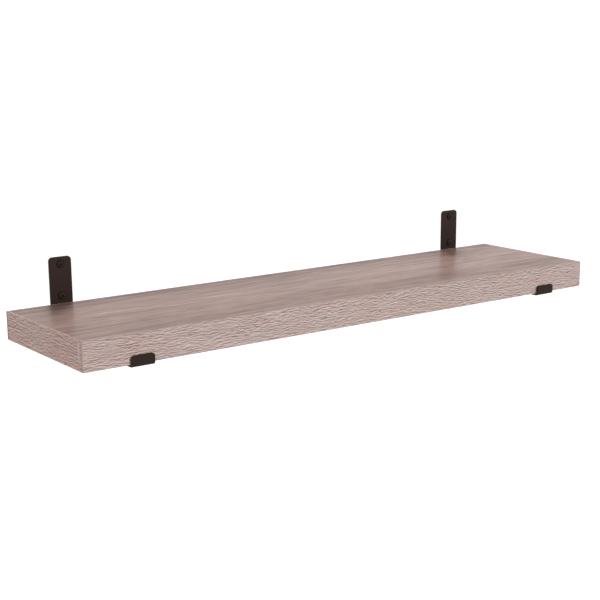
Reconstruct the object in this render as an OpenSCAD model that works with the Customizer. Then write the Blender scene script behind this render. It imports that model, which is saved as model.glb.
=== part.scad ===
// Bracket wall shelf: a light board on a wood frame, held by two J-shaped strip brackets.
// X runs along the wall, -Y points into the room and +Z up.
// The origin is the centre of the four wall screws, on the wall's face.

/* [Board] */
// Length of the board along the wall
board_length = 800; // [500:10:1200]
// Depth of the board out from the wall
board_depth = 200; // [150:5:300]
// Thickness of the board
board_thickness = 36; // [30:1:50]
// Thickness of the top and bottom panels
panel_thickness = 4; // [3:0.5:6]
// Thickness of the four edge bands
band_thickness = 3; // [2.5:0.5:4]
// Rounding of the board's outer edges, which also sets the brackets' bends
edge_radius = 1; // [0.75:0.25:2.25]

/* [Board frame] */
// Width of the front and back rails
rail_width = 30; // [20:1:40]
// How far the end blocks reach past the brackets
block_margin = 10; // [5:1:30]
// Width of one honeycomb cell
cell_width = 26; // [20:1:40]
// Thickness of the honeycomb's card
card_thickness = 0.8; // [0.5:0.1:1.2]

/* [Brackets] */
// Width of the steel strip
strip_width = 30; // [24:1:50]
// Thickness of the steel strip
strip_thickness = 3; // [2:0.5:5]
// Height of the lip above the board's underside
lip_height = 11; // [8:1:20]
// Rounding of the upright's top corners
upright_corner_radius = 5; // [2:0.5:10]
// Rounding of the lip's top corners
lip_corner_radius = 4; // [1:0.5:5]
// From the board's end to the middle of a bracket
bracket_inset = 75; // [50:1:150]

/* [Wall screws] */
// Distance between the two wall screws of a bracket
wall_screw_spacing = 40; // [25:1:80]
// From the upright's top down to its upper screw
wall_screw_drop = 9; // [7:0.5:16]
// From the board up to the lower screw
wall_screw_rise = 9.5; // [7:0.5:16]
// Diameter of the shank in the wall
wall_shank_diameter = 4.5; // [3.5:0.25:5]
// How much the neck in the bracket stands out from the shank
wall_neck_step = 0.2; // [0.2:0.05:0.4]
// Length from the head's underside to the tip
wall_screw_length = 50; // [30:5:70]
// Length of the tapered tip
wall_tip_length = 7; // [4:1:10]
// Diameter of the head
wall_head_diameter = 9; // [7:0.25:11]
// Height of the head
wall_head_height = 2.6; // [2:0.1:3.2]

/* [Board screws] */
// From the front and back rails to the screws
board_screw_margin = 12; // [8:1:20]
// Diameter of the shank
board_shank_diameter = 3.5; // [3:0.25:5]
// Length from the head's underside to the tip
board_screw_length = 16; // [14:1:20]
// Length of the tapered tip
board_tip_length = 4; // [3:0.5:5]
// Diameter of the head
board_head_diameter = 7; // [6:0.25:9]
// Height of the head
board_head_height = 2.1; // [1.5:0.1:2.6]

/* [Fits] */
// Radial play of a screw in its bracket hole
hole_clearance = 0.3; // [0.2:0.05:0.5]
// Radial play of a screw in its hole in the wood
pilot_clearance = 0.05; // [0.05:0.05:0.2]
// How much tighter the brackets bend than the board's edge
bend_clearance = 0.25; // [0:0.05:0.5]

/* [Screw heads] */
// Height of a head's straight rim, as a share of the head's height
head_rim_share = 0.35; // [0.2:0.05:0.5]
// Span of a screw's cross recess, as a share of its head's diameter
recess_span_share = 0.48; // [0.4:0.02:0.6]
// Width of one wing, as a share of the span
recess_wing_share = 0.24; // [0.16:0.02:0.32]
// Depth of the recess, as a share of the head's height
recess_depth_share = 0.55; // [0.4:0.05:0.7]

/* [Hidden] */

// Facets drawn on a full circle
round_facets = 64;
// How far a cut runs past the faces that it passes
overrun = 1;

// Heights, from the pattern's centre
upright_top = wall_screw_spacing / 2 + wall_screw_drop;
board_top = -wall_screw_spacing / 2 - wall_screw_rise;
board_bottom = board_top - board_thickness;
strip_bottom = board_bottom - strip_thickness;

// Depths, from the wall
board_back = -strip_thickness;
board_front = board_back - board_depth;
board_middle = (board_back + board_front) / 2;

// Inside radius of the brackets' two bends
bend_radius = edge_radius - bend_clearance;

// Inside of the edge bands
inner_length = board_length - 2 * band_thickness;
inner_depth = board_depth - 2 * band_thickness;
core_height = board_thickness - 2 * panel_thickness;
core_bottom = board_bottom + panel_thickness;

// Frame inside the board
bay_depth = inner_depth - 2 * rail_width;
bracket_x = board_length / 2 - bracket_inset;
block_inner_x = bracket_x - strip_width / 2 - block_margin;
block_width = inner_length / 2 - block_inner_x;
bay_length = 2 * block_inner_x;

// Honeycomb, stretched to a whole number of cells
cell_rise_share = sqrt(3) / 2;
cells_along = round(bay_length / cell_width);
cell_rows = round(bay_depth / (cell_width * cell_rise_share));
cell_pitch = bay_length / cells_along;
row_pitch = bay_depth / cell_rows;

// Places of the screws
wall_screw_z = wall_screw_spacing / 2;
board_screw_inset = band_thickness + rail_width + board_screw_margin;
board_screw_y = [board_front + board_screw_inset, board_back - board_screw_inset];
wall_neck_diameter = wall_shank_diameter + 2 * wall_neck_step;

// The board's whole outside, with its edges rounded all round
module board_shape() {
    intersection() {
        translate([0, board_middle, board_bottom])
            linear_extrude(board_thickness)
                rounded_rectangle(board_length, board_depth, edge_radius);
        translate([0, board_back, board_bottom + board_thickness / 2])
            rotate([90, 0, 0])
                linear_extrude(board_depth)
                    rounded_rectangle(board_length, board_thickness, edge_radius);
        translate([-board_length / 2, board_middle, board_bottom + board_thickness / 2])
            rotate([90, 0, 90])
                linear_extrude(board_length)
                    rounded_rectangle(board_depth, board_thickness, edge_radius);
    }
}

// A rectangle about the origin with round corners
module rounded_rectangle(wide, high, radius) {
    square([wide - 2 * radius, high], center = true);
    square([wide, high - 2 * radius], center = true);
    for (side = [-1, 1], end = [-1, 1])
        translate([side * (wide / 2 - radius), end * (high / 2 - radius)])
            circle(radius, $fn = round_facets);
}

// A box from its lowest corner in Y and Z, centred at one X
module block_at(middle_x, low_y, low_z, size)
    translate([middle_x - size[0] / 2, low_y, low_z]) cube(size);

// The part of the board's outside between two depths and two places along it
module board_slice(low_x, high_x, low_y, high_y) {
    intersection() {
        board_shape();
        translate([low_x, low_y, board_bottom - overrun])
            cube([high_x - low_x, high_y - low_y, board_thickness + 2 * overrun]);
    }
}

// Holes for the board screws in one end of the board
module pilot_holes(side) {
    for (y = board_screw_y)
        translate([side * bracket_x, y, strip_bottom - overrun])
            cylinder(
                h = overrun + board_screw_length + pilot_clearance,
                d = board_shank_diameter + 2 * pilot_clearance,
                $fn = round_facets
            );
}

module top_panel()
    color("rosybrown")
        block_at(0, board_back - band_thickness - inner_depth, board_top - panel_thickness,
            [inner_length, inner_depth, panel_thickness]);

module bottom_panel()
    color("rosybrown")
        difference() {
            block_at(0, board_back - band_thickness - inner_depth, board_bottom,
                [inner_length, inner_depth, panel_thickness]);
            for (side = [-1, 1]) pilot_holes(side);
        }

module front_rail()
    color("tan")
        block_at(0, board_front + band_thickness, core_bottom, [inner_length, rail_width, core_height]);

module back_rail()
    color("tan")
        block_at(0, board_back - band_thickness - rail_width, core_bottom,
            [inner_length, rail_width, core_height]);

module end_block(side)
    color("burlywood")
        difference() {
            block_at(side * (block_inner_x + block_width / 2), board_front + band_thickness + rail_width,
                core_bottom, [block_width, bay_depth, core_height]);
            pilot_holes(side);
        }

module left_end_block() end_block(-1);

module right_end_block() end_block(1);

// One open cell, smaller than its pitch by the card's thickness
module honeycomb_cell() {
    half_wide = (cell_pitch - card_thickness) / 2;
    point_y = row_pitch * 2 / 3 - card_thickness / 2;
    shoulder_y = row_pitch / 3 - card_thickness / 4;
    polygon([
        [0, point_y], [half_wide, shoulder_y], [half_wide, -shoulder_y],
        [0, -point_y], [-half_wide, -shoulder_y], [-half_wide, shoulder_y]
    ]);
}

module honeycomb_core()
    color("peru")
        translate([-bay_length / 2, board_front + band_thickness + rail_width, core_bottom])
            linear_extrude(core_height)
                difference() {
                    square([bay_length, bay_depth]);
                    for (row = [0 : cell_rows], cell = [0 : cells_along])
                        translate([(cell + (row % 2) / 2) * cell_pitch, row * row_pitch])
                            honeycomb_cell();
                }

module front_edge_band()
    color("rosybrown")
        board_slice(-board_length, board_length, board_front - overrun, board_front + band_thickness);

module back_edge_band()
    color("rosybrown")
        board_slice(-board_length, board_length, board_back - band_thickness, board_back + overrun);

module left_end_band()
    color("rosybrown")
        board_slice(-board_length / 2 - overrun, -inner_length / 2,
            board_front + band_thickness, board_back - band_thickness);

module right_end_band()
    color("rosybrown")
        board_slice(inner_length / 2, board_length / 2 + overrun,
            board_front + band_thickness, board_back - band_thickness);

// A quarter bend of the strip about the origin, turned to the quadrant below and on one side
module bend(side) {
    intersection() {
        difference() {
            circle(bend_radius + strip_thickness, $fn = round_facets);
            circle(bend_radius, $fn = round_facets);
        }
        translate([side > 0 ? 0 : -bend_radius - strip_thickness, -bend_radius - strip_thickness])
            square(bend_radius + strip_thickness);
    }
}

// The strip seen from its side: depth to the right, height up
module strip_profile() {
    bend_z = board_bottom + bend_radius;
    // Upright, from the bend to its top
    translate([board_back, bend_z]) square([strip_thickness, upright_top - bend_z]);
    translate([board_back - bend_radius, bend_z]) bend(1);
    // Leg under the board
    translate([board_front + bend_radius, strip_bottom])
        square([board_depth - 2 * bend_radius, strip_thickness]);
    translate([board_front + bend_radius, bend_z]) bend(-1);
    // Lip up the front
    translate([board_front - strip_thickness, bend_z])
        square([strip_thickness, lip_height - bend_radius]);
}

// What is cut off a square corner at the origin's upper right, through the strip, to round it
module corner_cut(radius) {
    rotate([90, 0, 0])
        linear_extrude(strip_thickness + 2 * overrun, center = true)
            difference() {
                translate([-radius, -radius]) square(radius + overrun);
                translate([-radius, -radius]) circle(radius, $fn = round_facets);
            }
}

// The two top corners of the upright or the lip
module corner_cuts(middle_y, top_z, radius) {
    for (side = [0, 1])
        mirror([side, 0, 0])
            translate([strip_width / 2, middle_y, top_z])
                corner_cut(radius);
}

module bracket(side)
    color("#33291f")
        translate([side * bracket_x, 0, 0])
            difference() {
                translate([-strip_width / 2, 0, 0])
                    rotate([90, 0, 90])
                        linear_extrude(strip_width)
                            strip_profile();
                corner_cuts(board_back + strip_thickness / 2, upright_top, upright_corner_radius);
                corner_cuts(board_front - strip_thickness / 2, board_bottom + lip_height, lip_corner_radius);
                // Wall screw holes
                for (z = [-wall_screw_z, wall_screw_z])
                    translate([0, overrun, z])
                        rotate([90, 0, 0])
                            cylinder(
                                h = strip_thickness + 2 * overrun,
                                d = wall_neck_diameter + 2 * hole_clearance,
                                $fn = round_facets
                            );
                // Board screw holes
                for (y = board_screw_y)
                    translate([0, y, strip_bottom - overrun])
                        cylinder(
                            h = strip_thickness + 2 * overrun,
                            d = board_shank_diameter + 2 * hole_clearance,
                            $fn = round_facets
                        );
            }

module left_bracket() bracket(-1);

module right_bracket() bracket(1);

// A dome head with a low straight rim that stands on the XY plane, with its cross recess
module screw_head(diameter, height) {
    dome_rise = height * (1 - head_rim_share);
    dome_radius = (diameter * diameter / 4 + dome_rise * dome_rise) / (2 * dome_rise);
    recess_span = diameter * recess_span_share;
    recess_wing = recess_span * recess_wing_share;
    recess_depth = height * recess_depth_share;
    difference() {
        intersection() {
            translate([0, 0, height - dome_radius]) sphere(dome_radius, $fn = round_facets);
            cylinder(h = height + overrun, d = diameter, $fn = round_facets);
        }
        for (turn = [0, 90])
            rotate(turn)
                translate([-recess_span / 2, -recess_wing / 2, height - recess_depth])
                    cube([recess_span, recess_wing, recess_depth + overrun]);
    }
}

// A round shank that hangs from the XY plane, with a tapered tip
module screw_shank(diameter, length, tip_length) {
    translate([0, 0, tip_length - length]) cylinder(h = length - tip_length, d = diameter, $fn = round_facets);
    translate([0, 0, -length]) cylinder(h = tip_length, d1 = 0, d2 = diameter, $fn = round_facets);
}

// One wall screw: its head lies on the bracket, and its thinner shank starts at the wall
module wall_screw() {
    rotate([90, 0, 0]) {
        translate([0, 0, strip_thickness]) screw_head(wall_head_diameter, wall_head_height);
        cylinder(h = strip_thickness, d = wall_neck_diameter, $fn = round_facets);
        screw_shank(wall_shank_diameter, wall_screw_length - strip_thickness, wall_tip_length);
    }
}

module wall_screws()
    color("#2b2522")
        for (side = [-1, 1], z = [-wall_screw_z, wall_screw_z])
            translate([side * bracket_x, 0, z])
                wall_screw();

// One board screw, driven up from below
module board_screw() {
    mirror([0, 0, 1]) {
        screw_head(board_head_diameter, board_head_height);
        screw_shank(board_shank_diameter, board_screw_length, board_tip_length);
    }
}

module board_screws()
    color("#2b2522")
        for (side = [-1, 1], y = board_screw_y)
            translate([side * bracket_x, y, strip_bottom])
                board_screw();

top_panel();
bottom_panel();
front_rail();
back_rail();
left_end_block();
right_end_block();
honeycomb_core();
front_edge_band();
back_edge_band();
left_end_band();
right_end_band();
left_bracket();
right_bracket();
wall_screws();
board_screws();
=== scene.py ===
import math

import bmesh
import bpy
import numpy
from mathutils import Matrix, Vector, noise


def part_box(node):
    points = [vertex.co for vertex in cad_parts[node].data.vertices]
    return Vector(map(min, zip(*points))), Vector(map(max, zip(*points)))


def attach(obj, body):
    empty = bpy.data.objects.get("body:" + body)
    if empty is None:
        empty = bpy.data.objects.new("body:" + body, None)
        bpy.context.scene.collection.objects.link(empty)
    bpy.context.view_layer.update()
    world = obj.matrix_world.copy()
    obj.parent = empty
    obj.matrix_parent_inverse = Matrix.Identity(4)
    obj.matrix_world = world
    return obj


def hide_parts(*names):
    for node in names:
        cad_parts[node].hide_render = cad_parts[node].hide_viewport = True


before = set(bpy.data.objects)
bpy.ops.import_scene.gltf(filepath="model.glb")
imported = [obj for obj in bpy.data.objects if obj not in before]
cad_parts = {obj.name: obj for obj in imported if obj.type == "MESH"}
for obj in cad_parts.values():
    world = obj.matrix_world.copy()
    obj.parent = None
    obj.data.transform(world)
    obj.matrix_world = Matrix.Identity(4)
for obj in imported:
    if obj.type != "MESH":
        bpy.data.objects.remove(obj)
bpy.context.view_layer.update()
scene = bpy.context.scene
mm = 0.001
body = "root"

# Places that several pieces share
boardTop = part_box("top_panel")[1].z
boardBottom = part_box("bottom_panel")[0].z
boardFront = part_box("front_edge_band")[0].y
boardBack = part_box("back_edge_band")[1].y
wallHead, boardHead = 9.0 * mm, 7.0 * mm  # how wide the screws' heads are
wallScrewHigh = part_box("wall_screws")[1]
wallScrewX = wallScrewHigh.x - wallHead / 2
wallScrewZ = wallScrewHigh.z - wallHead / 2
boardScrewLow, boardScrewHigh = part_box("board_screws")
boardScrewYs = (boardScrewHigh.y - boardHead / 2, boardScrewLow.y + boardHead / 2)


# Shader nodes: each helper adds one node, feeds its inputs and gives back its output
def addNode(tree, kind, inputs, **options):
    node = tree.nodes.new(kind)
    for option, value in options.items():
        setattr(node, option, value)
    for place, value in inputs.items():
        if isinstance(value, bpy.types.NodeSocket):
            tree.links.new(value, node.inputs[place])
        else:
            node.inputs[place].default_value = value
    return node


def maths(tree, operation, first, second=0.0, third=0.0):
    return addNode(tree, "ShaderNodeMath", {0: first, 1: second, 2: third}, operation=operation).outputs[0]


def remap(tree, value, low, high, newLow=0.0, newHigh=1.0):
    inputs = {0: value, 1: low, 2: high, 3: newLow, 4: newHigh}
    return addNode(tree, "ShaderNodeMapRange", inputs, interpolation_type="SMOOTHSTEP").outputs[0]


def stretchedNoise(tree, place, stretch, seed, detail=2.0, roughness=0.5):
    # stretch is the number of lumps per metre in each direction
    inputs = {"Vector": place, "Location": (seed, -seed, seed / 2), "Scale": stretch}
    spot = addNode(tree, "ShaderNodeMapping", inputs).outputs[0]
    inputs = {"Vector": spot, "Scale": 1.0, "Detail": detail, "Roughness": roughness}
    return addNode(tree, "ShaderNodeTexNoise", inputs).outputs["Fac"]


def blendColours(tree, share, first, second):
    inputs = {0: share, 6: first, 7: second}
    return addNode(tree, "ShaderNodeMix", inputs, data_type="RGBA").outputs[2]


def brighten(tree, colour, amount):
    return addNode(tree, "ShaderNodeVectorMath", {0: colour, "Scale": amount}, operation="SCALE").outputs[0]


def printColour(tree, look, tone, drift):
    # the print's dark parts are redder and its light parts paler, and drift changes the hue slowly
    deep = tuple(channel * (1 - part) for channel, part in zip(look["colour"], look["shift"]))
    pale = tuple(channel * (1 + part) for channel, part in zip(look["colour"], look["shift"]))
    change = maths(tree, "MULTIPLY", maths(tree, "SUBTRACT", drift, 0.5), look["mottle"])
    share = maths(tree, "ADD", maths(tree, "SUBTRACT", tone, 0.5), change)
    mixed = blendColours(tree, share, (*deep, 1), (*pale, 1))
    return brighten(tree, mixed, tone)


def newFinish(name, look):
    # a material with its steady values on the shader itself
    finish = bpy.data.materials.new(name)
    finish.use_nodes = True
    shader = finish.node_tree.nodes["Principled BSDF"]
    shader.inputs["Roughness"].default_value = look["roughness"]
    shader.inputs["Specular IOR Level"].default_value = look["gloss"]
    finish.diffuse_color = (*look["colour"], 1.0)
    return finish, finish.node_tree, shader


def objectPlace(tree):
    return addNode(tree, "ShaderNodeTexCoord", {}).outputs["Object"]


def splitPlace(tree, place):
    return addNode(tree, "ShaderNodeSeparateXYZ", {0: place}).outputs


def addLayers(tree, tone, place, layers):
    # noise in several sizes on top of each other
    for stretch, seed, detail, strength in layers:
        layer = stretchedNoise(tree, place, stretch, seed, detail, 0.6)
        tone = maths(tree, "ADD", maths(tree, "MULTIPLY_ADD", layer, strength, -strength / 2), tone)
    return tone


def addBump(tree, shader, height, depth):
    bump = addNode(tree, "ShaderNodeBump", {"Strength": 1.0, "Distance": depth, "Height": height})
    tree.links.new(bump.outputs[0], shader.inputs["Normal"])


def tint(tree, shader, colour, tone):
    tree.links.new(brighten(tree, colour, tone), shader.inputs["Base Color"])


# Finishes: a noise is given by its lumps per metre, its seed and its detail,
# and a range by two values of the noise and the two values that they give
printedPanel = {
    "colour": (0.3283, 0.2253, 0.1951),
    "shift": (0.0, 0.075, 0.095),  # how much each channel drops in dark parts and rises in pale ones
    "mottle": 0.8,
    "roughness": 0.30,
    "gloss": 0.03,
    "grainDrift": ((2.6, 11.0, 0.0), 2.7),
    "warp": 10.0 * mm,
    # grain: lumps per metre, seed, detail, strength
    "layers": [
        ((2.2, 38.0, 0.0), 11.3, 2.0, 0.50),
        ((7.0, 120.0, 0.0), 23.9, 3.0, 0.72),
        ((16.0, 420.0, 0.0), 5.1, 3.0, 1.50),
        ((45.0, 900.0, 0.0), 17.7, 2.0, 0.80),
        ((14.0, 22.0, 0.0), 31.1, 3.0, 0.24),
    ],
    "pores": ((70.0, 1100.0, 0.0), 8.8, 1.0),
    "poreRange": (0.66, 0.74, 0.0, 0.22),
    "hue": ((6.0, 14.0, 0.0), 40.2),
    "faintGrain": ((40.0, 700.0, 0.0), 3.4),
    "relief": 0.02 * mm,
    "streakSeeds": (1.9, 3.3),  # the first one, and the step to the next
    "streakFade": 0.06,
    "streakWobble": (4.0, 0.0, 0.0),
    "streakBreaks": (14.0, 60.0, 0.0),
    "breakRange": (0.25, 0.6, 0.35, 1.0),
    # streaks along the board: middle, half width, left end, right end, darkness, wander
    "streaks": [
        (-0.1530, 0.0013, -0.46, -0.10, 0.34, 0.002),
        (-0.1570, 0.0075, -0.14, 0.46, 0.17, 0.003),
        (-0.1500, 0.0016, 0.02, 0.46, 0.12, 0.001),
        (-0.1620, 0.0050, -0.40, -0.22, 0.10, 0.003),
        (-0.1310, 0.0030, -0.09, 0.09, 0.14, 0.006),
        (-0.1200, 0.0020, -0.34, -0.12, 0.10, 0.006),
        (-0.0680, 0.0015, -0.38, -0.20, 0.12, 0.003),
        (-0.0530, 0.0035, -0.20, -0.02, 0.16, 0.004),
        (-0.0610, 0.0020, -0.14, 0.00, 0.12, 0.002),
        (-0.0530, 0.0025, 0.09, 0.28, 0.14, 0.004),
        (-0.0380, 0.0015, 0.12, 0.30, 0.10, 0.003),
        (-0.0880, 0.0030, 0.05, 0.22, -0.08, 0.004),
        (-0.1060, 0.0180, -0.30, 0.46, -0.10, 0.010),
        (-0.0130, 0.0210, -0.50, 0.50, 0.31, 0.006),
        (-0.1850, 0.0200, -0.50, 0.50, 0.12, 0.004),
        (-0.1720, 0.0018, 0.12, 0.28, 0.16, 0.002),
    ],
}

embossedBand = {
    "colour": (0.4640, 0.3637, 0.3367),
    "shift": (0.0, 0.080, 0.100),
    "mottle": 1.2,
    "hue": ((14.0, 14.0, 60.0), 51.0),
    "hueLean": 0.0,
    "roughness": 0.5,
    "gloss": 0.2,
    "ridge": 1.29,  # tone on the ridges, partly print and partly painted highlight
    "grooveShade": 0.77,  # how far the tone drops in the grooves, partly print and partly painted shade
    "plain": (0.47, 0.375, 0.34),
    # print: lumps per metre, seed, detail, strength
    "layers": [
        ((5.0, 5.0, 40.0), 14.2, 2.0, 0.12),
        ((30.0, 30.0, 300.0), 6.6, 2.0, 0.30),
        ((60.0, 60.0, 800.0), 27.5, 2.0, 0.16),
    ],
    "fineRelief": ((300.0, 300.0, 2400.0), 9.1),
    "relief": 0.04 * mm,
}
embossedEnd = {
    **embossedBand,
    "colour": (0.492, 0.3585, 0.326),
    "shift": (0.0, 0.150, 0.175),
    "mottle": 0.85,
    "hue": ((14.0, 14.0, 60.0), 57.3),
    "hueLean": 0.7,  # per metre, so that the print is redder towards the front
    "ridge": 1.268,
    "grooveShade": 0.70,
}


def streakTone(tree, along, depth, place, streak, seed):
    # how much one streak darkens the print
    centre, half, left, right, dark, wander = streak
    wobble = stretchedNoise(tree, place, printedPanel["streakWobble"], seed, 1.0)
    middle = maths(tree, "MULTIPLY_ADD", wobble, 2 * wander, centre - wander)
    away = maths(tree, "ABSOLUTE", maths(tree, "SUBTRACT", depth, middle))
    line = remap(tree, away, 0.0, 2 * half, dark, 0.0)
    fade = printedPanel["streakFade"]
    start = remap(tree, along, left, left + fade)
    stop = remap(tree, along, right - fade, right, 1.0, 0.0)
    breaks = stretchedNoise(tree, place, printedPanel["streakBreaks"], seed + 3.0)
    broken = remap(tree, breaks, *printedPanel["breakRange"])
    ends = maths(tree, "MULTIPLY", start, stop)
    return maths(tree, "MULTIPLY", maths(tree, "MULTIPLY", line, broken), ends)


def makePrintedPanel():
    finish, tree, shader = newFinish("printedPanel", printedPanel)
    place = objectPlace(tree)
    parts = splitPlace(tree, place)
    along, depth = parts[0], parts[1]
    # the grain wanders a little, as sawn wood does
    drift = stretchedNoise(tree, place, *printedPanel["grainDrift"])
    shift = maths(tree, "MULTIPLY", maths(tree, "SUBTRACT", drift, 0.5), printedPanel["warp"])
    offset = addNode(tree, "ShaderNodeCombineXYZ", {1: shift}).outputs[0]
    grain = addNode(tree, "ShaderNodeVectorMath", {0: place, 1: offset}, operation="ADD").outputs[0]
    tone = addLayers(tree, 1.0, grain, printedPanel["layers"])
    first, step = printedPanel["streakSeeds"]
    for number, streak in enumerate(printedPanel["streaks"]):
        dark = streakTone(tree, along, depth, place, streak, step * number + first)
        tone = maths(tree, "SUBTRACT", tone, dark)
    # short dark pores
    pores = stretchedNoise(tree, grain, *printedPanel["pores"])
    tone = maths(tree, "SUBTRACT", tone, remap(tree, pores, *printedPanel["poreRange"]))
    hueDrift = stretchedNoise(tree, place, *printedPanel["hue"])
    tree.links.new(printColour(tree, printedPanel, tone, hueDrift), shader.inputs["Base Color"])
    # a smooth foil with the faintest grain in it
    faint = stretchedNoise(tree, grain, *printedPanel["faintGrain"])
    addBump(tree, shader, faint, printedPanel["relief"])
    return finish


def makeEmbossedBand(name, look):
    finish, tree, shader = newFinish(name, look)
    place = objectPlace(tree)
    grooveShade = addNode(tree, "ShaderNodeAttribute", {}, attribute_name="grooveShade").outputs["Fac"]
    plain = addNode(tree, "ShaderNodeAttribute", {}, attribute_name="plain").outputs["Fac"]
    # the tone follows the relief: partly print, partly painted shade in the grooves and painted highlight
    # on the ridges
    tone = maths(tree, "MULTIPLY_ADD", grooveShade, -look["grooveShade"], look["ridge"])
    tone = addLayers(tree, tone, place, look["layers"])
    hueDrift = stretchedNoise(tree, place, *look["hue"])
    if look["hueLean"]:
        middleY = (boardFront + boardBack) / 2
        depth, lean = splitPlace(tree, place)[1], look["hueLean"]
        hueDrift = maths(tree, "ADD", hueDrift, maths(tree, "MULTIPLY_ADD", depth, lean, -lean * middleY))
    printed = printColour(tree, look, tone, hueDrift)
    bare = brighten(tree, look["plain"], tone)
    tree.links.new(blendColours(tree, plain, printed, bare), shader.inputs["Base Color"])
    addBump(tree, shader, stretchedNoise(tree, place, *look["fineRelief"]), look["relief"])
    return finish


powderCoat = {
    "colour": (0.0262, 0.0170, 0.0147),
    "roughness": 0.55,
    "gloss": 0.09,
    "cloud": ((60.0, 60.0, 60.0), 4.4, 3.0),
    "toneRange": (0.2, 0.8, 0.95, 1.05),
    "speckle": ((900.0, 900.0, 900.0), 7.0),
    "roughRange": (0.3, 0.7, 0.48, 0.62),
    "grit": ((1100.0, 1100.0, 1100.0), 13.0, 1.0),
    "relief": 0.03 * mm,
    "ring": 1.6 * mm,  # painted shade round each wall screw's head, standing in for its contact shadow
    "screwShadeTone": 0.20,
    "shadedFootTone": 0.97,  # painted light and shade: the coat gets paler from the upright's foot to its top
    "litTopTone": 1.24,
}


def makePowderCoat():
    finish, tree, shader = newFinish("powderCoat", powderCoat)
    place = objectPlace(tree)
    cloud = stretchedNoise(tree, place, *powderCoat["cloud"])
    tone = remap(tree, cloud, *powderCoat["toneRange"])
    parts = splitPlace(tree, place)
    # painted shade: a dark ring round each wall screw's head, in place of its contact shadow
    across = maths(tree, "SUBTRACT", maths(tree, "ABSOLUTE", parts[0]), wallScrewX)
    rise = maths(tree, "SUBTRACT", maths(tree, "ABSOLUTE", parts[2]), wallScrewZ)
    squares = maths(tree, "MULTIPLY_ADD", across, across, maths(tree, "MULTIPLY", rise, rise))
    away, edge = maths(tree, "SQRT", squares), wallHead / 2
    ring = remap(tree, away, edge, edge + powderCoat["ring"], powderCoat["screwShadeTone"], 1.0)
    tone = maths(tree, "MULTIPLY", tone, ring)
    # painted light and shade: paler towards the upright's top, darker at its foot
    paintedLightRise = remap(tree, parts[2], boardTop, wallScrewZ, powderCoat["shadedFootTone"], powderCoat["litTopTone"])
    tint(tree, shader, powderCoat["colour"], maths(tree, "MULTIPLY", tone, paintedLightRise))
    speckle = stretchedNoise(tree, place, *powderCoat["speckle"])
    rough = remap(tree, speckle, *powderCoat["roughRange"])
    tree.links.new(rough, shader.inputs["Roughness"])
    addBump(tree, shader, stretchedNoise(tree, place, *powderCoat["grit"]), powderCoat["relief"])
    return finish


blackScrew = {
    "colour": (0.0262, 0.0170, 0.0147),
    "roughness": 0.5,
    "gloss": 0.12,
    "cloud": ((700.0, 700.0, 700.0), 2.0, 3.0),
    "toneRange": (0.25, 0.75, 0.8, 1.2),
    "recessShade": 0.9,  # painted shade: how much darker the recess and the rim's foot are
    "scratches": ((1500.0, 1500.0, 300.0), 6.0),
    "roughRange": (0.3, 0.7, 0.44, 0.56),
    "relief": 0.01 * mm,
}


def makeBlackScrew():
    finish, tree, shader = newFinish("blackScrew", blackScrew)
    place = objectPlace(tree)
    cloud = stretchedNoise(tree, place, *blackScrew["cloud"])
    tone = remap(tree, cloud, *blackScrew["toneRange"])
    shaded = addNode(tree, "ShaderNodeAttribute", {}, attribute_name="shaded").outputs["Fac"]
    # painted shade where the shaded attribute is set: the recess and the rim's foot
    paintedShade = maths(tree, "MULTIPLY_ADD", shaded, -blackScrew["recessShade"], 1.0)
    tint(tree, shader, blackScrew["colour"], maths(tree, "MULTIPLY", tone, paintedShade))
    scratches = stretchedNoise(tree, place, *blackScrew["scratches"])
    rough = remap(tree, scratches, *blackScrew["roughRange"])
    tree.links.new(rough, shader.inputs["Roughness"])
    addBump(tree, shader, scratches, blackScrew["relief"])
    return finish


chipboard = {
    "colour": (0.47, 0.30, 0.15),
    "roughness": 0.8,
    "gloss": 0.3,
    "chips": 420.0,  # per metre
    "darkest": 0.75,
    "spread": 0.5,
    "relief": 0.2 * mm,
}


def makeChipboard():
    finish, tree, shader = newFinish("chipboard", chipboard)
    place = objectPlace(tree)
    chips = addNode(tree, "ShaderNodeTexVoronoi", {"Vector": place, "Scale": chipboard["chips"]})
    shade = addNode(tree, "ShaderNodeSeparateColor", {0: chips.outputs["Color"]}).outputs[0]
    tone = maths(tree, "MULTIPLY_ADD", shade, chipboard["spread"], chipboard["darkest"])
    tint(tree, shader, chipboard["colour"], tone)
    addBump(tree, shader, shade, chipboard["relief"])
    return finish


brownCard = {
    "colour": (0.34, 0.22, 0.11),
    "roughness": 0.85,
    "gloss": 0.2,
    "fibres": ((300.0, 300.0, 900.0), 12.0, 3.0),
    "toneRange": (0.2, 0.8, 0.85, 1.15),
    "relief": 0.1 * mm,
}


def makeBrownCard():
    finish, tree, shader = newFinish("brownCard", brownCard)
    place = objectPlace(tree)
    fibres = stretchedNoise(tree, place, *brownCard["fibres"])
    tint(tree, shader, brownCard["colour"], remap(tree, fibres, *brownCard["toneRange"]))
    addBump(tree, shader, fibres, brownCard["relief"])
    return finish


finishes = {
    "print": makePrintedPanel(),
    "band": makeEmbossedBand("embossedBand", embossedBand),
    "endBand": makeEmbossedBand("embossedEndBand", embossedEnd),
    "bracket": makePowderCoat(),
    "screw": makeBlackScrew(),
    "wood": makeChipboard(),
    "card": makeBrownCard(),
}
print("finishes:", len(finishes))


# Pieces
def addPiece(name, mesh, finish, slot, *cadNodes):
    piece = bpy.data.objects.new(name, mesh)
    scene.collection.objects.link(piece)
    if not mesh.materials:
        mesh.materials.append(finish)
    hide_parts(*cadNodes)
    return piece


def dressNode(name, finish):
    # a CAD node that keeps its shape gets its finish
    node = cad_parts[name]
    node.data.materials.clear()
    node.data.materials.append(finish)
    return node


panelEdge = {"bevel": 0.15 * mm, "segments": 2, "weld": 0.01 * mm}

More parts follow.
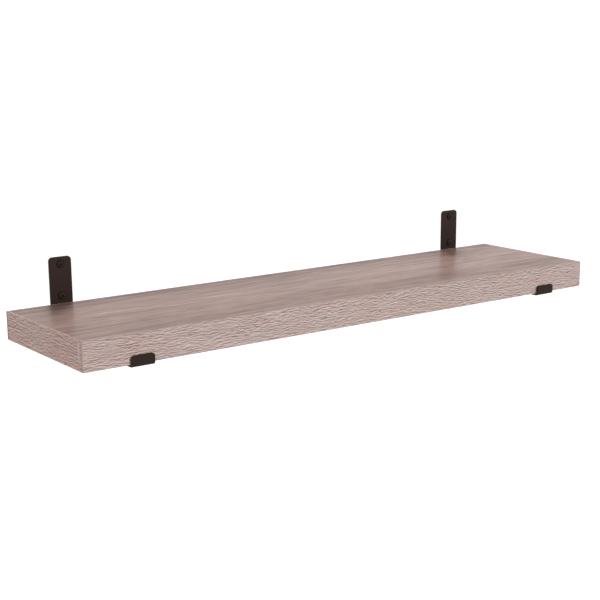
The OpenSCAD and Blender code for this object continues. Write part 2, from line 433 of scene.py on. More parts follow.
for name in ("top_panel", "bottom_panel"):
    panel = dressNode(name, finishes["print"])
    weld = panel.modifiers.new("weld", "WELD")
    weld.merge_threshold = panelEdge["weld"]
    edge = panel.modifiers.new("edge", "BEVEL")
    edge.width = panelEdge["bevel"]
    edge.segments = panelEdge["segments"]
    edge.limit_method = "ANGLE"
for name in ("front_rail", "back_rail", "left_end_block", "right_end_block"):
    dressNode(name, finishes["wood"])
dressNode("honeycomb_core", finishes["card"])
print("panels, frame and core dressed")

bandForm = {
    "rounding": 1.0 * mm,
    "roundingSteps": 3,  # on each half of a rounded edge
    "alongStep": 1.2 * mm,
    "upStep": 0.35 * mm,
    "seam": 0.12 * mm,
    "sharpAngle": 50,
    "relief": 0.55 * mm,
    "ridgeLevel": 1.6,  # strokes above this, in spreads of the map, are ridges
    "levels": 3.4,  # from the ridges down to the grooves
    "strokeSpacing": 3.0 * mm,
    "strokeRange": 0.65,  # how widely the spacing varies
    "strokeSmoothing": 2.0,
    "breakAcross": 5.0 * mm,
    "breakSmoothing": 0.8,
    "breakFloor": 0.45,  # the strength that a stroke keeps where it breaks off
    "breakLift": 0.3,
    "breakTop": 1.8,
    "mapAcross": 0.2 * mm,
    "mapAlong": 0.8 * mm,
    "mapHeight": 110.0 * mm,
    "wander": 0.6 * mm,
    "wanderLength": 45.0 * mm,
    "edgeStart": 25,  # the relief fades out over a rounded edge, from this angle on
    "edgeRange": 50,
    "sideShare": 0.4,  # how much of the relief's tone shows past the edge
    "endFacing": 0.7,
    # the plain strip on an end band, from the front band's joint
    "plainStart": 3.4 * mm,
    "plainEnd": 8.8 * mm,
    "plainFade": 1.0 * mm,
    "plainWobble": 1.2 * mm,
    "plainWobbleLength": 3.0 * mm,
    "plainDepth": 0.25,
    "plainShare": 0.85,  # how far it covers the relief
    "plainLow": (-0.26, 0.18),  # where it begins and how fast it fades, in heights of the band
    "plainHigh": (0.48, 0.10),
}


def spread(low, high, step):
    count = max(1, math.ceil((high - low) / step - 1e-6))
    return [low + (high - low) * part / count for part in range(count + 1)]


def roundedSpread(low, high, step):
    # even places, with finer ones over the two rounded edges
    rounding, steps = bandForm["rounding"], bandForm["roundingSteps"]
    outer = [rounding * math.tan(math.pi / 4 * part / steps) for part in range(1, steps + 1)]
    inside = spread(low + rounding, high - rounding, step)
    return [inside[0] - away for away in reversed(outer)] + inside + [inside[-1] + away for away in outer]


def smooth(value):
    value = min(1.0, max(0.0, value))
    return value * value * (3 - 2 * value)


def strokeMap(length, strokeLength, stretch, seed):
    # a random map of long thin strokes that break off here and there, with mean 0 and spread 1
    form = bandForm
    columns = math.ceil(length / form["mapAlong"])
    rows = math.ceil(form["mapHeight"] / form["mapAcross"])
    along = numpy.fft.rfftfreq(columns, form["mapAlong"])
    across = numpy.abs(numpy.fft.fftfreq(rows, form["mapAcross"]))[:, None]
    dice = numpy.random.default_rng(seed)

    def field(keep):
        grain = numpy.fft.rfft2(dice.standard_normal((rows, columns)))
        made = numpy.fft.irfft2(grain * keep, (rows, columns))
        return made / made.std()

    def bell(frequencies, size):
        return numpy.exp(-((frequencies * size) ** 2))

    middle = 1 / (form["strokeSpacing"] * stretch)
    thin = bell(across - middle, 1 / (form["strokeRange"] * middle))
    lines = field(thin * bell(along, strokeLength * form["strokeSmoothing"]))
    wide = bell(across, form["breakAcross"] * stretch)
    breaks = field(wide * bell(along, strokeLength * form["breakSmoothing"]))
    strokes = lines * (form["breakFloor"] + numpy.clip(breaks + form["breakLift"], 0, form["breakTop"]))
    return (strokes / strokes.std()).tolist()


def reliefAt(strokes, along, up, slant, boldness, seed):
    # how deep the relief is at one place, from 0 on the ridges to 1
    form = bandForm
    turn = Vector((along / form["wanderLength"], up / form["wanderLength"], seed))
    across = up + slant * along + form["wander"] * noise.noise(turn)
    row, column = across / form["mapAcross"], along / form["mapAlong"]
    rowBelow, columnBelow = math.floor(row), math.floor(column)
    rowShare, columnShare = row - rowBelow, column - columnBelow
    rows, columns = len(strokes), len(strokes[0])
    near, far = strokes[rowBelow % rows], strokes[(rowBelow + 1) % rows]
    one, two = columnBelow % columns, (columnBelow + 1) % columns
    lower = near[one] * (1 - columnShare) + near[two] * columnShare
    upper = far[one] * (1 - columnShare) + far[two] * columnShare
    value = lower * (1 - rowShare) + upper * rowShare
    return smooth((form["ridgeLevel"] - value * boldness) / form["levels"])


# How the long bands look; boldness goes from a band's left end to its right end
longBand = {
    "roundedEnds": True,
    "finish": "band",
    "slant": 0.01,
    "stroke": 4.2 * mm,
    "stretch": 1.0,
    "plainSide": 0,
    "sideDepth": 0.62,
    "boldness": (1.0, 1.0),
}
endBand = {
    **longBand,
    "roundedEnds": False,
    "finish": "endBand",
    "stroke": 4.6 * mm,
    "stretch": 1.2,
}
# Each band, with the node that it stands for and the way that its face looks
bandStyles = {
    "frontBand": {
        **longBand, "node": "front_edge_band", "outward": (0, -1, 0),
        "boldness": (0.96, 1.24), "seed": 3,
    },
    "backBand": {
        **longBand, "node": "back_edge_band", "outward": (0, 1, 0),
        "sideDepth": 0.95, "seed": 41,
    },
    "leftEndBand": {
        **endBand, "node": "left_end_band", "outward": (-1, 0, 0),
        "slant": -0.05, "plainSide": 1, "seed": 17,
    },
    "rightEndBand": {
        **endBand, "node": "right_end_band", "outward": (1, 0, 0),
        "slant": 0.05, "plainSide": -1, "seed": 29,
    },
}


def makeBand(name, style):
    form = bandForm
    roundedEnds, plainSide, seed = style["roundedEnds"], style["plainSide"], style["seed"]
    leftBoldness, rightBoldness = style["boldness"]
    outward = Vector(style["outward"])
    low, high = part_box(style["node"])
    up = Vector((0, 0, 1))
    alongWay = up.cross(outward)
    # local measures: along the band, up, and out from its inner face
    middle = (low + high) / 2
    size = high - low
    length = abs(size.dot(alongWay))
    height = size.z
    thick = abs(size.dot(outward))
    base = middle - outward * (thick / 2)
    rounding, seam, steps = form["rounding"], form["seam"], form["roundingSteps"]
    if roundedEnds:
        alongs = roundedSpread(-length / 2, length / 2, form["alongStep"])
    else:
        inside = spread(seam - length / 2, length / 2 - seam, form["alongStep"])
        alongs = [-length / 2] + inside + [length / 2]
    ups = roundedSpread(-height / 2, height / 2, form["upStep"])
    outer = [rounding * math.tan(math.pi / 4 * part / steps) for part in range(steps + 1)]
    outs = [0.0, seam] + [thick - rounding + away for away in outer]
    last = (len(alongs) - 1, len(ups) - 1, len(outs) - 1)
    vertices, grooves, plains, index = [], [], [], {}
    strokes = strokeMap(length, style["stroke"], style["stretch"], seed)

    def plainShare(spot):
        # a plain strip near the front band, which fades out above the lower edge
        away = length / 2 - plainSide * spot.x
        wave = noise.noise(Vector((0, spot.y / form["plainWobbleLength"], seed)))
        end = form["plainEnd"] + form["plainWobble"] * wave
        strip = smooth((away - form["plainStart"]) / form["plainFade"])
        strip *= smooth((end - away) / form["plainFade"])
        share = spot.y / height
        (lowest, lowFade), (highest, highFade) = form["plainLow"], form["plainHigh"]
        strip *= smooth((share - lowest) / lowFade) * smooth((highest - share) / highFade)
        return form["plainShare"] * strip

    def corner(i, j, k):
        key = (i, j, k)
        if key in index:
            return index[key]
        spot = Vector((alongs[i], ups[j], outs[k]))
        core = spot.copy()
        if roundedEnds:
            core.x = min(max(spot.x, rounding - length / 2), length / 2 - rounding)
        core.y = min(max(spot.y, rounding - height / 2), height / 2 - rounding)
        core.z = min(spot.z, thick - rounding)
        normal = (spot - core).normalized()
        placed = core + normal * rounding
        turn = math.acos(min(1.0, max(-1.0, normal.z)))
        unrolled = core.y + rounding * turn * (1 if normal.y >= 0 else -1)
        facing = 1 - smooth((math.degrees(turn) - form["edgeStart"]) / form["edgeRange"])
        rightward = 0.5 + spot.x / length
        boldness = leftBoldness * (1 - rightward) + rightBoldness * rightward
        relief = reliefAt(strokes, spot.x, unrolled, style["slant"], boldness, seed)
        bare = plainShare(spot) if plainSide else 0.0
        sunk = relief * (1 - bare) + form["plainDepth"] * bare
        placed -= normal * form["relief"] * sunk * facing
        side = form["sideShare"] * relief + (1 - form["sideShare"]) * style["sideDepth"]
        if k == 0 or (not roundedEnds and i in (0, last[0])):
            placed -= normal * seam
        index[key] = len(vertices)
        vertices.append(base + alongWay * placed.x + up * placed.y + outward * placed.z)
        # the relief's depth, stored to darken the colour: partly print, partly painted shade in the grooves
        grooves.append(relief * facing * (1 - bare) + side * (1 - facing))
        plains.append(bare * facing)
        return index[key]

    faces = []

    def sheet(first, second, place):
        for one in range(first):
            for two in range(second):
                around = ((one, two), (one + 1, two), (one + 1, two + 1), (one, two + 1))
                faces.append([corner(*place(*spot)) for spot in around])

    sheet(last[0], last[1], lambda i, j: (i, j, last[2]))
    sheet(last[0], last[2], lambda i, k: (i, 0, k))
    sheet(last[0], last[2], lambda i, k: (i, last[1], k))
    if roundedEnds:
        sheet(last[1], last[2], lambda j, k: (0, j, k))
        sheet(last[1], last[2], lambda j, k: (last[0], j, k))
        ring = [(i, 0, 0) for i in range(last[0])] + [(last[0], j, 0) for j in range(last[1])]
        ring += [(i, last[1], 0) for i in range(last[0], 0, -1)]
        ring += [(0, j, 0) for j in range(last[1], 0, -1)]
        faces.append([corner(*key) for key in ring])
    else:
        ring = [(i, 0, 0) for i in range(last[0] + 1)] + [(i, last[1], 0) for i in range(last[0], -1, -1)]
        faces.append([corner(*key) for key in ring])
        for i in (0, last[0]):
            ring = [(i, 0, k) for k in range(last[2])] + [(i, j, last[2]) for j in range(last[1])]
            ring += [(i, last[1], k) for k in range(last[2], -1, -1)]
            faces.append([corner(*key) for key in ring])

    mesh = bpy.data.meshes.new(name)
    mesh.from_pydata(vertices, [], faces)
    for title, values in (("grooveShade", grooves), ("plain", plains)):
        attribute = mesh.attributes.new(title, "FLOAT", "POINT")
        attribute.data.foreach_set("value", values)
    shell = bmesh.new()
    shell.from_mesh(mesh)
    bmesh.ops.recalc_face_normals(shell, faces=shell.faces)
    shell.to_mesh(mesh)
    shell.free()
    mesh.shade_smooth()
    mesh.set_sharp_from_angle(angle=math.radians(form["sharpAngle"]))
    mesh.materials.append(finishes[style["finish"]])
    if roundedEnds:
        # its cut ends belong to the end faces and look like them
        mesh.materials.append(finishes["endBand"])
        for face in mesh.polygons:
            face.material_index = int(abs(face.normal.dot(alongWay)) > form["endFacing"])
    piece = addPiece(name, mesh, finishes[style["finish"]], "embossed_edge", style["node"])
    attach(piece, body)
    print(name, "faces:", len(mesh.polygons))


for name, style in bandStyles.items():
    makeBand(name, style)

bracketForm = {
    "bendRadius": 0.75 * mm,
    "lipHeight": 11.0 * mm,
    "uprightCorner": 5.0 * mm,
    "lipCorner": 4.0 * mm,
    "wallHole": 5.5 * mm,
    "boardHole": 4.1 * mm,
    "edge": 0.35 * mm,
    "edgeSteps": 3,
    "cornerSteps": 10,
    "holeSteps": 48,
    "bendSteps": 10,
    "weld": 0.001 * mm,
    "flatFacing": 0.9999,  # edges that flat faces don't need are taken out before the bends are cut
    "flatAngle": 0.1,
    "cutReach": 1e-7,
    "sharpAngle": 35,
}


def arc(middleX, middleY, radius, start, stop, steps):
    turns = [math.radians(start + (stop - start) * part / steps) for part in range(steps + 1)]
    return [(middleX + radius * math.cos(turn), middleY + radius * math.sin(turn)) for turn in turns]


def makeBracket(name, node):
    form = bracketForm
    low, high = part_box(node)
    middleX, width, top = (low.x + high.x) / 2, high.x - low.x, high.z
    thick = boardBottom - low.z
    bend = form["bendRadius"]
    # stretches of the flat strip, from the upright's top to the lip's top
    bendZ = boardBottom + bend
    bendLength = (bend + thick / 2) * math.pi / 2
    firstBend = top - bendZ
    leg = firstBend + bendLength
    lastBend = leg + (boardBack - boardFront - 2 * bend)
    lip = lastBend + bendLength
    total = lip + form["lipHeight"] - bend
    half = width / 2

    # flat outline, drawn with the end of the lip upward
    topR, lipR, edge = form["uprightCorner"], form["lipCorner"], form["edge"]
    steps = form["cornerSteps"]
    outline = arc(topR - half, topR, topR - edge, 180, 270, steps)
    outline += arc(half - topR, topR, topR - edge, 270, 360, steps)
    outline += arc(half - lipR, total - lipR, lipR - edge, 0, 90, steps)
    outline += arc(lipR - half, total - lipR, lipR - edge, 90, 180, steps)
    # where each hole is along the strip, and how wide
    holes = [(top - z, form["wallHole"]) for z in (wallScrewZ, -wallScrewZ)]
    holes += [(leg + boardBack - bend - y, form["boardHole"]) for y in boardScrewYs]
    loops = [outline]
    for place, size in holes:
        loops.append(arc(0, place, size / 2 + edge, 0, 360, form["holeSteps"])[:-1])
    curve = bpy.data.curves.new(name + "Flat", "CURVE")
    curve.dimensions = "2D"
    curve.fill_mode = "BOTH"
    curve.extrude = thick / 2 - edge
    curve.bevel_depth = edge
    curve.bevel_resolution = form["edgeSteps"]
    for loop in loops:
        spline = curve.splines.new("POLY")
        spline.points.add(len(loop) - 1)
        for point, (x, y) in zip(spline.points, loop):
            point.co = (x, y, 0, 1)
        spline.use_cyclic_u = True
    flat = bpy.data.objects.new(name + "Flat", curve)
    scene.collection.objects.link(flat)
    bpy.context.view_layer.update()
    mesh = bpy.data.meshes.new_from_object(flat.evaluated_get(bpy.context.evaluated_depsgraph_get()))
    bpy.data.objects.remove(flat)
    mesh.name = name

    strip = bmesh.new()
    strip.from_mesh(mesh)
    bmesh.ops.remove_doubles(strip, verts=strip.verts, dist=form["weld"])
    flatFaces = [face for face in strip.faces if abs(face.normal.z) > form["flatFacing"]]
    flatEdges = dict.fromkeys(line for face in flatFaces for line in face.edges)
    bmesh.ops.dissolve_limit(
        strip,
        angle_limit=math.radians(form["flatAngle"]),
        verts=strip.verts,
        edges=list(flatEdges),
        use_dissolve_boundaries=False,
    )
    for start in (firstBend, lastBend):
        for part in range(form["bendSteps"] + 1):
            bmesh.ops.bisect_plane(
                strip,
                geom=strip.verts[:] + strip.edges[:] + strip.faces[:],
                dist=form["cutReach"],
                plane_co=(0, start + bendLength * part / form["bendSteps"], 0),
                plane_no=(0, 1, 0),
            )

    def fold(across, place, depth):
        # depth goes from the board's side to the outside
        quarter = math.pi / 2
        if place <= firstBend:
            return Vector((middleX + across, boardBack + depth, top - place))
        if place < leg:
            turn = quarter * (place - firstBend) / bendLength
            reach = bend + depth
            y = boardBack - bend + reach * math.cos(turn)
            return Vector((middleX + across, y, bendZ - reach * math.sin(turn)))
        if place <= lastBend:
            return Vector((middleX + across, boardBack - bend - (place - leg), boardBottom - depth))
        if place < lip:
            turn = quarter * (place - lastBend) / bendLength
            reach = bend + depth
            y = boardFront + bend - reach * math.sin(turn)
            return Vector((middleX + across, y, bendZ - reach * math.cos(turn)))
        return Vector((middleX + across, boardFront - depth, bendZ + place - lip))

    for vertex in strip.verts:
        vertex.co = fold(vertex.co.x, vertex.co.y, vertex.co.z + thick / 2)
    bmesh.ops.recalc_face_normals(strip, faces=strip.faces)
    strip.to_mesh(mesh)
    strip.free()
    mesh.shade_smooth()
    mesh.set_sharp_from_angle(angle=math.radians(form["sharpAngle"]))
    mesh.materials.clear()
    piece = addPiece(name, mesh, finishes["bracket"], "bracket_coat", node)
    evened = piece.modifiers.new("evened", "WEIGHTED_NORMAL")
    evened.keep_sharp = True
    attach(piece, body)
    print(name, "faces:", len(mesh.polygons))


makeBracket("leftBracket", "left_bracket")
makeBracket("rightBracket", "right_bracket")

wallScrew = {
    "head": wallHead,
    "headHeight": 2.6 * mm,
    "neck": 4.9 * mm,
    "neckLength": 3.0 * mm,
    "thread": 4.5 * mm,
    "core": 3.1 * mm,
    "pitch": 2.0 * mm,
    "length": 50.0 * mm,
    "tip": 7.0 * mm,
}
boardScrew = {
    "head": boardHead,
    "headHeight": 2.1 * mm,
    "neck": 3.4 * mm,
    "neckLength": 3.0 * mm,
    "thread": 3.5 * mm,
    "core": 2.4 * mm,
    "pitch": 1.4 * mm,
    "length": 16.0 * mm,
    "tip": 4.0 * mm,
}
headForm = {
    "rim": 0.35,  # of the head's height
    "flat": 0.55,  # inner ring of the underside, of the radius
    "underside": 0.35 * mm,
    "undersideSteps": 4,
    "shoulder": 0.25 * mm,
    "segments": 48,
    "domeSteps": 12,
    "shadeWidth": 0.5 * mm,  # painted shade covers the foot of the rim
    "shadeGap": 0.1 * mm,
}
recessForm = {
    "span": 0.48,  # of the head's width
    "wing": 0.24,  # of the span
    "depth": 0.55,  # of the head's height
    "floor": 0.5,  # the wings' length at the bottom, as a share of that at the top
    "wingTaper": 0.6,  # how much of that their width follows
    "above": 0.5 * mm,  # how far the cutters stand out of the head
    "wellTop": 0.30,  # radii of the well in the middle, of the span
    "wellFloor": 0.17,
    "wellDepth": 1.15,  # of the wings' depth
    "wellSegments": 24,
}
threadForm = {
    "segments": 20,
    # one turn: how far along the pitch, and 1 on the crest
    "profile": ((0.0, 0), (0.52, 0), (0.72, 1), (0.82, 1)),
    "tipCrest": 0.5,  # the crest grows over this share of the tip
    "tipFullness": 0.4,
    "neckSegments": 32,
    "neckChamfer": 0.2 * mm,
    "overlap": 0.3 * mm,
    "merge": 0.005 * mm,
    "sliver": 0.002 * mm,
    "sharpAngle": 32,
}


def turned(shape, profile, segments):
    # a turned solid from (radius, height) pairs, lowest first
    rings = []
    for radius, height in profile:
        count = segments if radius > 1e-6 else 1
        turns = [2 * math.pi * part / segments for part in range(count)]
        spots = [(radius * math.cos(turn), radius * math.sin(turn), height) for turn in turns]
        rings.append([shape.verts.new(spot) for spot in spots])
    for lower, upper in zip(rings, rings[1:]):
        for part in range(segments):
            ahead = (part + 1) % segments
            corners = [lower[part % len(lower)], lower[ahead % len(lower)]]
            corners += [upper[ahead % len(upper)], upper[part % len(upper)]]
            shape.faces.new(list(dict.fromkeys(corners)))


def domeProfile(screw):
    # from the flat underside over a low rim to the dome's top
    radius, height = screw["head"] / 2, screw["headHeight"]
    rim = height * headForm["rim"]
    rise = height - rim
    under, shoulder = headForm["underside"], headForm["shoulder"]
    ball = (radius * radius + rise * rise) / (2 * rise)
    profile = [(0, 0), (radius * headForm["flat"], 0)]
    profile += arc(radius - under, under, under, -90, 0, headForm["undersideSteps"])
    profile += [(radius, rim - shoulder)]
    start = math.asin((radius - shoulder) / ball)
    for part in range(headForm["domeSteps"] + 1):
        turn = start * (1 - part / headForm["domeSteps"])
        profile.append((ball * math.sin(turn), height - ball + ball * math.cos(turn)))
    return profile


def meshFrom(name, build):
    shape = bmesh.new()
    build(shape)
    bmesh.ops.recalc_face_normals(shape, faces=shape.faces)
    mesh = bpy.data.meshes.new(name)
    shape.to_mesh(mesh)
    shape.free()
    return mesh


def headMesh(name, screw):
    # the dome, less a tapered cross and a round well in its middle
    form = recessForm
    span = screw["head"] * form["span"]
    wing = span * form["wing"]
    depth = screw["headHeight"] * form["depth"]
    top, above = screw["headHeight"], form["above"]
    topShare = 1 + (1 - form["floor"]) * above / depth

    def makeWing(shape, turn):
        spin = Matrix.Rotation(turn, 3, "Z")
        rows = []
        for share, height in ((form["floor"], top - depth), (topShare, top + above)):
            x, y = span / 2 * share, wing / 2 * (1 - form["wingTaper"] * (1 - share))
            spots = [(-x, -y, height), (x, -y, height), (x, y, height), (-x, y, height)]
            rows.append([shape.verts.new(spin @ Vector(spot)) for spot in spots])
        shape.faces.new(rows[0])
        shape.faces.new(rows[1])
        for part in range(4):
            ahead = (part + 1) % 4
            shape.faces.new((rows[0][part], rows[0][ahead], rows[1][ahead], rows[1][part]))

    def newItem(title, build):
        item = bpy.data.objects.new(title, meshFrom(title, build))
        scene.collection.objects.link(item)
        return item

    well = [
        (0, top - depth * form["wellDepth"]),
        (span * form["wellFloor"], top - depth),
        (span * form["wellTop"], top + above),
        (0, top + above),
    ]
    head = newItem(name, lambda shape: turned(shape, domeProfile(screw), headForm["segments"]))
    cutters = [
        newItem(name + "Wing0", lambda shape: makeWing(shape, 0)),
        newItem(name + "Wing1", lambda shape: makeWing(shape, math.pi / 2)),
        newItem(name + "Well", lambda shape: turned(shape, well, form["wellSegments"])),
    ]
    for item in cutters:
        cut = head.modifiers.new("cut", "BOOLEAN")
        cut.operation = "DIFFERENCE"
        cut.solver = "EXACT"
        cut.object = item
    bpy.context.view_layer.update()
    mesh = bpy.data.meshes.new_from_object(head.evaluated_get(bpy.context.evaluated_depsgraph_get()))
    for item in [head] + cutters:
        bpy.data.objects.remove(item)
    return mesh


def thread(shape, screw):
    # rows follow the helix, so each crest is one clean line of faces
    segments, phases, full = threadForm["segments"], threadForm["profile"], threadForm["tipFullness"]
    pitch, tip = screw["pitch"], screw["tip"]
    reach = screw["length"] - screw["neckLength"]
    core, crest = screw["core"] / 2, screw["thread"] / 2
    turns = math.ceil(reach / pitch) + 2
    rows = []
    for row in range(turns * len(phases)):
        phase, ridge = phases[row % len(phases)]
        line = []
        for part in range(segments):
            height = (row // len(phases) + phase + part / segments - turns + 1) * pitch
            height = min(0.0, max(-reach, height))
            taper = min(1.0, (height + reach) / tip)
            rise = min(1.0, -height / pitch, (height + reach) / (threadForm["tipCrest"] * tip))
            radius = core * taper + (crest - core) * ridge * max(0, rise) * min(1.0, full + taper)
            turn = 2 * math.pi * part / segments
            line.append(shape.verts.new((radius * math.cos(turn), radius * math.sin(turn), height)))
        rows.append(line)
    for row in range(len(rows) - len(phases) - 1):
        for part in range(segments):
            ahead, climb = (part + 1, 0) if part + 1 < segments else (0, len(phases))
            lower = (rows[row][part], rows[row + climb][ahead])
            upper = (rows[row + 1 + climb][ahead], rows[row + 1][part])
            shape.faces.new(lower + upper)


def makeScrewMesh(name, screw):
    # head, neck and shank overlap, and measures go up from the strip's back
    headFoot, overlap = screw["neckLength"], threadForm["overlap"]

    def makeShank(shape):
        thread(shape, screw)
        bmesh.ops.remove_doubles(shape, verts=shape.verts, dist=threadForm["merge"])
        bmesh.ops.dissolve_degenerate(shape, edges=shape.edges, dist=threadForm["sliver"])
        bmesh.ops.holes_fill(shape, edges=[edge for edge in shape.edges if edge.is_boundary])

    def makeWhole(shape):
        shape.from_mesh(headMesh(name + "Head", screw))
        bmesh.ops.translate(shape, verts=shape.verts, vec=(0, 0, headFoot))
        neck = screw["neck"] / 2
        profile = [(0, -overlap), (neck - threadForm["neckChamfer"], -overlap), (neck, 0)]
        profile += [(neck, headFoot + overlap / 2), (0, headFoot + overlap / 2)]
        turned(shape, profile, threadForm["neckSegments"])
        shape.from_mesh(meshFrom(name + "Shank", makeShank))

    mesh = meshFrom(name, makeWhole)
    mesh.shade_smooth()
    mesh.set_sharp_from_angle(angle=math.radians(threadForm["sharpAngle"]))
    mesh.materials.append(finishes["screw"])
    # painted shade on the foot of the rim and the lower half of the recess
    radius, recess = screw["head"] / 2, screw["head"] / 2 * recessForm["span"]
    rimFoot = headFoot + screw["headHeight"] * headForm["rim"] - headForm["shadeGap"]
    recessTop = headFoot + screw["headHeight"] * (1 - recessForm["depth"] / 2)
    shaded = []
    for vertex in mesh.vertices:
        away, height = math.hypot(vertex.co.x, vertex.co.y), vertex.co.z
        onRim = away > radius - headForm["shadeWidth"] and 0 < height < rimFoot
        inRecess = away < recess and headFoot < height < recessTop
        shaded.append(float(onRim or inRecess))
    mesh.attributes.new("shaded", "FLOAT", "POINT").data.foreach_set("value", shaded)
    return mesh


wallMesh = makeScrewMesh("wallScrew", wallScrew)
boardMesh = makeScrewMesh("boardScrew", boardScrew)


def placeScrew(name, mesh, node, place, tilt, turn):
    screw = addPiece(name, mesh, finishes["screw"], "screw_black", node)
    screw.matrix_world = Matrix.Translation(place) @ tilt @ Matrix.Rotation(math.radians(turn), 4, "Z")
    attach(screw, body)


towardsRoom = Matrix.Rotation(math.pi / 2, 4, "X")
downward = Matrix.Rotation(math.pi, 4, "X")
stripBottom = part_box("left_bracket")[0].z
# how far each cross is turned, in degrees: upper, lower, back and front screw
screwTurns = {"left": (12, 38, 71, 20), "right": (55, 80, 33, 64)}
for side, sign in (("left", -1), ("right", 1)):
    turns = screwTurns[side]
    for place, (level, z) in enumerate((("Upper", wallScrewZ), ("Lower", -wallScrewZ))):
        spot = Vector((sign * wallScrewX, 0, z))
        placeScrew(side + level + "WallScrew", wallMesh, "wall_screws", spot, towardsRoom, turns[place])
    for place, (level, y) in enumerate((("Back", boardScrewYs[0]), ("Front", boardScrewYs[1]))):
        spot = Vector((sign * wallScrewX, y, stripBottom + boardScrew["neckLength"]))
        placeScrew(side + level + "BoardScrew", boardMesh, "board_screws", spot, downward, turns[place + 2])
print("screws placed")


# Stage, light and camera
stageLook = {
    "floor": -1.5,
    "floorSize": 36.0,
    "floorColour": 0.5,
    "floorGlow": 0.72,
    "ambient": 0.13,
    "white": 1.04,  # just over pure white, so that no noise shows in the background
    "patchWidth": 0.12,
    "patchLow": -0.027,
    "patchHigh": 0.3,
    "patchGap": 0.3 * mm,
    "lampsAway": 3.0,
}


def seenRays(tree):
    # 1 for rays from the camera, a reflection or glass
    rays = addNode(tree, "ShaderNodeLightPath", {}).outputs
    shown = maths(tree, "MAXIMUM", rays["Is Camera Ray"], rays["Is Glossy Ray"])
    return maths(tree, "MAXIMUM", shown, rays["Is Transmission Ray"])


def plane(name, corners, finish):
    mesh = bpy.data.meshes.new(name)
    mesh.from_pydata(corners, [], [(0, 1, 2, 3)])
    mesh.materials.append(finish)
    item = bpy.data.objects.new(name, mesh)
    scene.collection.objects.link(item)
    return item


def stageFinish(name):
    finish = bpy.data.materials.new(name)
    finish.use_nodes = True
    finish.node_tree.nodes.clear()
    return finish, finish.node_tree


def showInFront(tree, front):
    # the surface is clear when seen from behind
    clear = addNode(tree, "ShaderNodeBsdfTransparent", {})
    behind = addNode(tree, "ShaderNodeNewGeometry", {}).outputs["Backfacing"]
    both = addNode(tree, "ShaderNodeMixShader", {0: behind, 1: front.outputs[0], 2: clear.outputs[0]})
    addNode(tree, "ShaderNodeOutputMaterial", {0: both.outputs[0]})


def makeFloor():
    finish, tree = stageFinish("paleFloor")
    shade = stageLook["floorColour"]
    matt = addNode(tree, "ShaderNodeBsdfDiffuse", {"Color": (shade, shade, shade, 1)})
    glowing = maths(tree, "MULTIPLY", seenRays(tree), stageLook["floorGlow"])
    glow = addNode(tree, "ShaderNodeEmission", {"Strength": glowing})
    showInFront(tree, addNode(tree, "ShaderNodeAddShader", {0: matt.outputs[0], 1: glow.outputs[0]}))
    half, z = stageLook["floorSize"] / 2, stageLook["floor"]
    plane("floor", [(-half, -half, z), (half, -half, z), (half, half, z), (-half, half, z)], finish)


def makeWallPatches():
    # bits of the white wall that hide the screws' shanks from the room's side
    finish, tree = stageFinish("whiteWall")
    showInFront(tree, addNode(tree, "ShaderNodeEmission", {"Strength": stageLook["white"]}))
    low, high, y = stageLook["patchLow"], stageLook["patchHigh"], stageLook["patchGap"]
    half = stageLook["patchWidth"] / 2
    for name, sign in (("leftWall", -1), ("rightWall", 1)):
        left, right = sign * wallScrewX - half, sign * wallScrewX + half
        patch = plane(name, [(left, y, low), (right, y, low), (right, y, high), (left, y, high)], finish)
        patch.visible_diffuse = patch.visible_glossy = patch.visible_shadow = False
        patch.visible_transmission = patch.visible_volume_scatter = False


def towardsViewer(azimuth, elevation):
    # the way to a lamp or the camera, from azimuth and elevation in radians
    level = math.cos(elevation)
    return Vector((math.sin(azimuth) * level, -math.cos(azimuth) * level, math.sin(elevation)))


# Each lamp's place in degrees, seen from the shelf, with its spread
lamps = {
    "key": {"azimuth": 30, "elevation": 15, "spread": 8, "strength": 0.80, "colour": (1, 1, 1)},
    "leftFill": {
        "azimuth": -75, "elevation": 14, "spread": 60, "strength": 0.532, "colour": (1, 0.925, 0.905)
    },
    "rearFill": {"azimuth": 147, "elevation": 37, "spread": 26, "strength": 0.88, "colour": (1, 1, 1)},
}


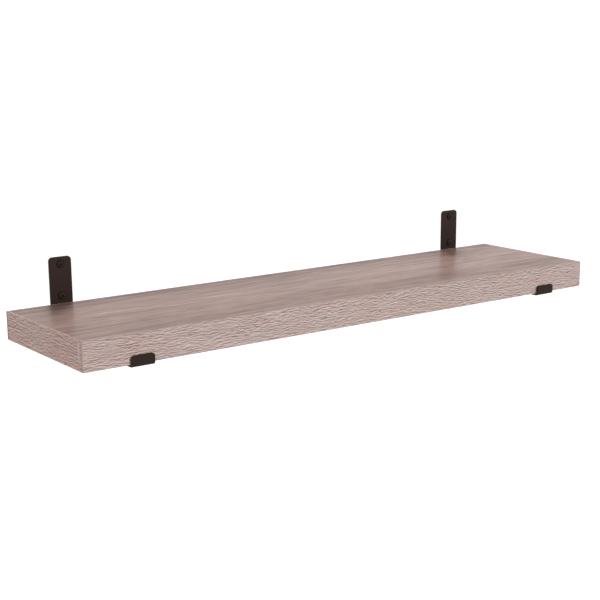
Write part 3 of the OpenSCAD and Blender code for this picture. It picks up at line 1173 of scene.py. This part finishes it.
def makeLights():
    world = bpy.data.worlds.new("softWhite")
    scene.world = world
    world.use_nodes = True
    tree = world.node_tree
    tree.nodes.clear()
    strength = remap(tree, seenRays(tree), 0.0, 1.0, stageLook["ambient"], stageLook["white"])
    sky = addNode(tree, "ShaderNodeBackground", {"Color": (1, 1, 1, 1), "Strength": strength})
    addNode(tree, "ShaderNodeOutputWorld", {0: sky.outputs[0]})
    for name, lamp in lamps.items():
        data = bpy.data.lights.new(name, "SUN")
        data.energy = lamp["strength"] * math.pi
        data.angle = math.radians(lamp["spread"])
        data.color = lamp["colour"]
        light = bpy.data.objects.new(name, data)
        scene.collection.objects.link(light)
        towards = towardsViewer(math.radians(lamp["azimuth"]), math.radians(lamp["elevation"]))
        light.location = towards * stageLook["lampsAway"]
        light.rotation_mode = "QUATERNION"
        light.rotation_quaternion = towards.to_track_quat("Z", "Y")
        light.visible_glossy = False


# Where the photograph was taken from
viewPoint = {
    "place": (-1.02713, -1.47203, 0.31161),
    "azimuth": -36.484,
    "elevation": 13.719,
    "roll": -0.295,
    "lens": 78.562,
    "sensor": 36.0,
    "shift": (-1 / 60, 1 / 15),  # of the picture's width
}


def makeCamera():
    data = bpy.data.cameras.new("photoCamera")
    data.lens = viewPoint["lens"]
    data.sensor_width = viewPoint["sensor"]
    data.shift_x, data.shift_y = viewPoint["shift"]
    camera = bpy.data.objects.new("photoCamera", data)
    scene.collection.objects.link(camera)
    azimuth, elevation, roll = (math.radians(viewPoint[key]) for key in ("azimuth", "elevation", "roll"))
    back = towardsViewer(azimuth, elevation)
    right = Vector((math.cos(azimuth), math.sin(azimuth), 0))
    up = back.cross(right)
    right, up = (
        math.cos(roll) * right + math.sin(roll) * up,
        math.cos(roll) * up - math.sin(roll) * right,
    )
    turn = Matrix((right, up, back)).transposed().to_4x4()
    camera.matrix_world = Matrix.Translation(viewPoint["place"]) @ turn
    scene.camera = camera


makeFloor()
makeWallPatches()
makeLights()
makeCamera()
scene.view_settings.view_transform = "Standard"
print("stage, lights and camera ready")
